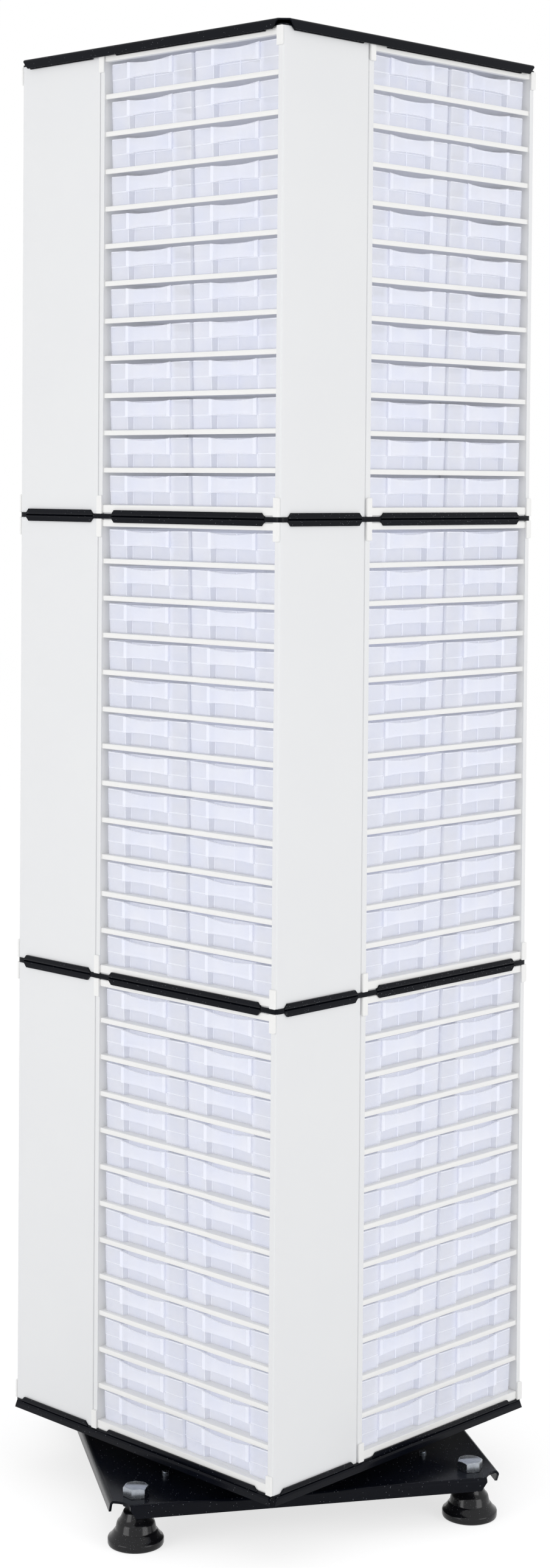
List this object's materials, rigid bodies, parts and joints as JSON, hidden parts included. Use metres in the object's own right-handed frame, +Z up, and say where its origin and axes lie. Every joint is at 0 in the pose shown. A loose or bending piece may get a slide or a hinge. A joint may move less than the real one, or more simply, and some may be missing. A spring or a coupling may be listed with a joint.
{
  "type": "rotating parts cabinet tower",
  "caption": "Rotating floor tower of white small-parts cabinets with clear drawers on all sides, stacked in tiers between black folded plates on a square base with levelling feet.",
  "frame": {"origin": "on the floor under the turning axis, at the centre of the base", "axes": "+Z up along the turning axis; at rest the tower's sides face -Y (front), +X (right), +Y (back) and -X (left)"},
  "size_m": [0.6308, 0.6308, 1.7685],
  "materials": {
    "black_powder_coat": "gloss",
    "black_foot_plastic": "satin",
    "zinc_plated_steel": "bright zinc",
    "bearing_steel": "ground",
    "cage_nylon": "satin",
    "white_casing_enamel": "satin",
    "white_frame_plastic": "satin",
    "clear_drawer_plastic": "gloss"
  },
  "bodies": {
    "base": {"base_plate": "black_powder_coat", "foot_pads": "black_foot_plastic", "foot_screws": "zinc_plated_steel", "plate_screws": "zinc_plated_steel", "lower_race": "bearing_steel"},
    "cage": {"ball_cage": "cage_nylon", "bearing_balls": "bearing_steel"},
    "tower": {"upper_race": "bearing_steel", "bottom_pan": "black_powder_coat", "bottom_lip_plate": "black_powder_coat", "lower_joint_under_plate": "black_powder_coat", "lower_joint_over_plate": "black_powder_coat", "upper_joint_under_plate": "black_powder_coat", "upper_joint_over_plate": "black_powder_coat", "top_lip_plate": "black_powder_coat", "top_cap": "black_powder_coat", "tie_rods": "zinc_plated_steel", "tie_nuts": "zinc_plated_steel", "stack_spacers": "zinc_plated_steel", "lower_casings": "white_casing_enamel", "middle_casings": "white_casing_enamel", "upper_casings": "white_casing_enamel", "shelves": "white_frame_plastic", "side_racks": "white_frame_plastic", "end_rails": "white_frame_plastic"},
    "drawer_01_left": {"drawer_01_left": "clear_drawer_plastic"},
    "drawer_01_right": {"drawer_01_right": "clear_drawer_plastic"},
    "drawer_02_left": {"drawer_02_left": "clear_drawer_plastic"},
    "drawer_02_right": {"drawer_02_right": "clear_drawer_plastic"},
    "drawer_03_left": {"drawer_03_left": "clear_drawer_plastic"},
    "drawer_03_right": {"drawer_03_right": "clear_drawer_plastic"},
    "drawer_04_left": {"drawer_04_left": "clear_drawer_plastic"},
    "drawer_04_right": {"drawer_04_right": "clear_drawer_plastic"},
    "drawer_05_left": {"drawer_05_left": "clear_drawer_plastic"},
    "drawer_05_right": {"drawer_05_right": "clear_drawer_plastic"},
    "drawer_06_left": {"drawer_06_left": "clear_drawer_plastic"},
    "drawer_06_right": {"drawer_06_right": "clear_drawer_plastic"},
    "drawer_07_left": {"drawer_07_left": "clear_drawer_plastic"},
    "drawer_07_right": {"drawer_07_right": "clear_drawer_plastic"},
    "drawer_08_left": {"drawer_08_left": "clear_drawer_plastic"},
    "drawer_08_right": {"drawer_08_right": "clear_drawer_plastic"},
    "drawer_09_left": {"drawer_09_left": "clear_drawer_plastic"},
    "drawer_09_right": {"drawer_09_right": "clear_drawer_plastic"},
    "drawer_10_left": {"drawer_10_left": "clear_drawer_plastic"},
    "drawer_10_right": {"drawer_10_right": "clear_drawer_plastic"},
    "drawer_11_left": {"drawer_11_left": "clear_drawer_plastic"},
    "drawer_11_right": {"drawer_11_right": "clear_drawer_plastic"},
    "drawer_12_left": {"drawer_12_left": "clear_drawer_plastic"},
    "drawer_12_right": {"drawer_12_right": "clear_drawer_plastic"},
    "lower_front_drawers": {"lower_front_drawers": "clear_drawer_plastic"},
    "lower_right_drawers": {"lower_right_drawers": "clear_drawer_plastic"},
    "lower_back_drawers": {"lower_back_drawers": "clear_drawer_plastic"},
    "lower_left_drawers": {"lower_left_drawers": "clear_drawer_plastic"},
    "middle_right_drawers": {"middle_right_drawers": "clear_drawer_plastic"},
    "middle_back_drawers": {"middle_back_drawers": "clear_drawer_plastic"},
    "middle_left_drawers": {"middle_left_drawers": "clear_drawer_plastic"},
    "upper_front_drawers": {"upper_front_drawers": "clear_drawer_plastic"},
    "upper_right_drawers": {"upper_right_drawers": "clear_drawer_plastic"},
    "upper_back_drawers": {"upper_back_drawers": "clear_drawer_plastic"},
    "upper_left_drawers": {"upper_left_drawers": "clear_drawer_plastic"}
  },
  "joints": [
    {"name": "tower_spin", "type": "hinge", "parent": "base", "child": "tower", "pos_m": [0, 0, 0.06925], "axis": [0, 0, 1], "continuous": true},
    {"name": "cage_spin", "type": "hinge", "parent": "base", "child": "cage", "pos_m": [0, 0, 0.06925], "axis": [0, 0, 1], "continuous": true},
    {"name": "drawer_01_left_slide", "type": "slide", "parent": "tower", "child": "drawer_01_left", "axis": [0, -1, 0], "range_m": [0, 0.105]},
    {"name": "drawer_01_right_slide", "type": "slide", "parent": "tower", "child": "drawer_01_right", "axis": [0, -1, 0], "range_m": [0, 0.105]},
    {"name": "drawer_02_left_slide", "type": "slide", "parent": "tower", "child": "drawer_02_left", "axis": [0, -1, 0], "range_m": [0, 0.105]},
    {"name": "drawer_02_right_slide", "type": "slide", "parent": "tower", "child": "drawer_02_right", "axis": [0, -1, 0], "range_m": [0, 0.105]},
    {"name": "drawer_03_left_slide", "type": "slide", "parent": "tower", "child": "drawer_03_left", "axis": [0, -1, 0], "range_m": [0, 0.105]},
    {"name": "drawer_03_right_slide", "type": "slide", "parent": "tower", "child": "drawer_03_right", "axis": [0, -1, 0], "range_m": [0, 0.105]},
    {"name": "drawer_04_left_slide", "type": "slide", "parent": "tower", "child": "drawer_04_left", "axis": [0, -1, 0], "range_m": [0, 0.105]},
    {"name": "drawer_04_right_slide", "type": "slide", "parent": "tower", "child": "drawer_04_right", "axis": [0, -1, 0], "range_m": [0, 0.105]},
    {"name": "drawer_05_left_slide", "type": "slide", "parent": "tower", "child": "drawer_05_left", "axis": [0, -1, 0], "range_m": [0, 0.105]},
    {"name": "drawer_05_right_slide", "type": "slide", "parent": "tower", "child": "drawer_05_right", "axis": [0, -1, 0], "range_m": [0, 0.105]},
    {"name": "drawer_06_left_slide", "type": "slide", "parent": "tower", "child": "drawer_06_left", "axis": [0, -1, 0], "range_m": [0, 0.105]},
    {"name": "drawer_06_right_slide", "type": "slide", "parent": "tower", "child": "drawer_06_right", "axis": [0, -1, 0], "range_m": [0, 0.105]},
    {"name": "drawer_07_left_slide", "type": "slide", "parent": "tower", "child": "drawer_07_left", "axis": [0, -1, 0], "range_m": [0, 0.105]},
    {"name": "drawer_07_right_slide", "type": "slide", "parent": "tower", "child": "drawer_07_right", "axis": [0, -1, 0], "range_m": [0, 0.105]},
    {"name": "drawer_08_left_slide", "type": "slide", "parent": "tower", "child": "drawer_08_left", "axis": [0, -1, 0], "range_m": [0, 0.105]},
    {"name": "drawer_08_right_slide", "type": "slide", "parent": "tower", "child": "drawer_08_right", "axis": [0, -1, 0], "range_m": [0, 0.105]},
    {"name": "drawer_09_left_slide", "type": "slide", "parent": "tower", "child": "drawer_09_left", "axis": [0, -1, 0], "range_m": [0, 0.105]},
    {"name": "drawer_09_right_slide", "type": "slide", "parent": "tower", "child": "drawer_09_right", "axis": [0, -1, 0], "range_m": [0, 0.105]},
    {"name": "drawer_10_left_slide", "type": "slide", "parent": "tower", "child": "drawer_10_left", "axis": [0, -1, 0], "range_m": [0, 0.105]},
    {"name": "drawer_10_right_slide", "type": "slide", "parent": "tower", "child": "drawer_10_right", "axis": [0, -1, 0], "range_m": [0, 0.105]},
    {"name": "drawer_11_left_slide", "type": "slide", "parent": "tower", "child": "drawer_11_left", "axis": [0, -1, 0], "range_m": [0, 0.105]},
    {"name": "drawer_11_right_slide", "type": "slide", "parent": "tower", "child": "drawer_11_right", "axis": [0, -1, 0], "range_m": [0, 0.105]},
    {"name": "drawer_12_left_slide", "type": "slide", "parent": "tower", "child": "drawer_12_left", "axis": [0, -1, 0], "range_m": [0, 0.105]},
    {"name": "drawer_12_right_slide", "type": "slide", "parent": "tower", "child": "drawer_12_right", "axis": [0, -1, 0], "range_m": [0, 0.105]},
    {"name": "lower_front_drawers_slide", "type": "slide", "parent": "tower", "child": "lower_front_drawers", "axis": [0, -1, 0], "range_m": [0, 0.105]},
    {"name": "lower_right_drawers_slide", "type": "slide", "parent": "tower", "child": "lower_right_drawers", "axis": [1, 0, 0], "range_m": [0, 0.105]},
    {"name": "lower_back_drawers_slide", "type": "slide", "parent": "tower", "child": "lower_back_drawers", "axis": [0, 1, 0], "range_m": [0, 0.105]},
    {"name": "lower_left_drawers_slide", "type": "slide", "parent": "tower", "child": "lower_left_drawers", "axis": [-1, 0, 0], "range_m": [0, 0.105]},
    {"name": "middle_right_drawers_slide", "type": "slide", "parent": "tower", "child": "middle_right_drawers", "axis": [1, 0, 0], "range_m": [0, 0.105]},
    {"name": "middle_back_drawers_slide", "type": "slide", "parent": "tower", "child": "middle_back_drawers", "axis": [0, 1, 0], "range_m": [0, 0.105]},
    {"name": "middle_left_drawers_slide", "type": "slide", "parent": "tower", "child": "middle_left_drawers", "axis": [-1, 0, 0], "range_m": [0, 0.105]},
    {"name": "upper_front_drawers_slide", "type": "slide", "parent": "tower", "child": "upper_front_drawers", "axis": [0, -1, 0], "range_m": [0, 0.105]},
    {"name": "upper_right_drawers_slide", "type": "slide", "parent": "tower", "child": "upper_right_drawers", "axis": [1, 0, 0], "range_m": [0, 0.105]},
    {"name": "upper_back_drawers_slide", "type": "slide", "parent": "tower", "child": "upper_back_drawers", "axis": [0, 1, 0], "range_m": [0, 0.105]},
    {"name": "upper_left_drawers_slide", "type": "slide", "parent": "tower", "child": "upper_left_drawers", "axis": [-1, 0, 0], "range_m": [0, 0.105]}
  ],
  "couplings": [
    {"joint": "cage_spin", "follows": "tower_spin", "ratio": 0.5}
  ]
}
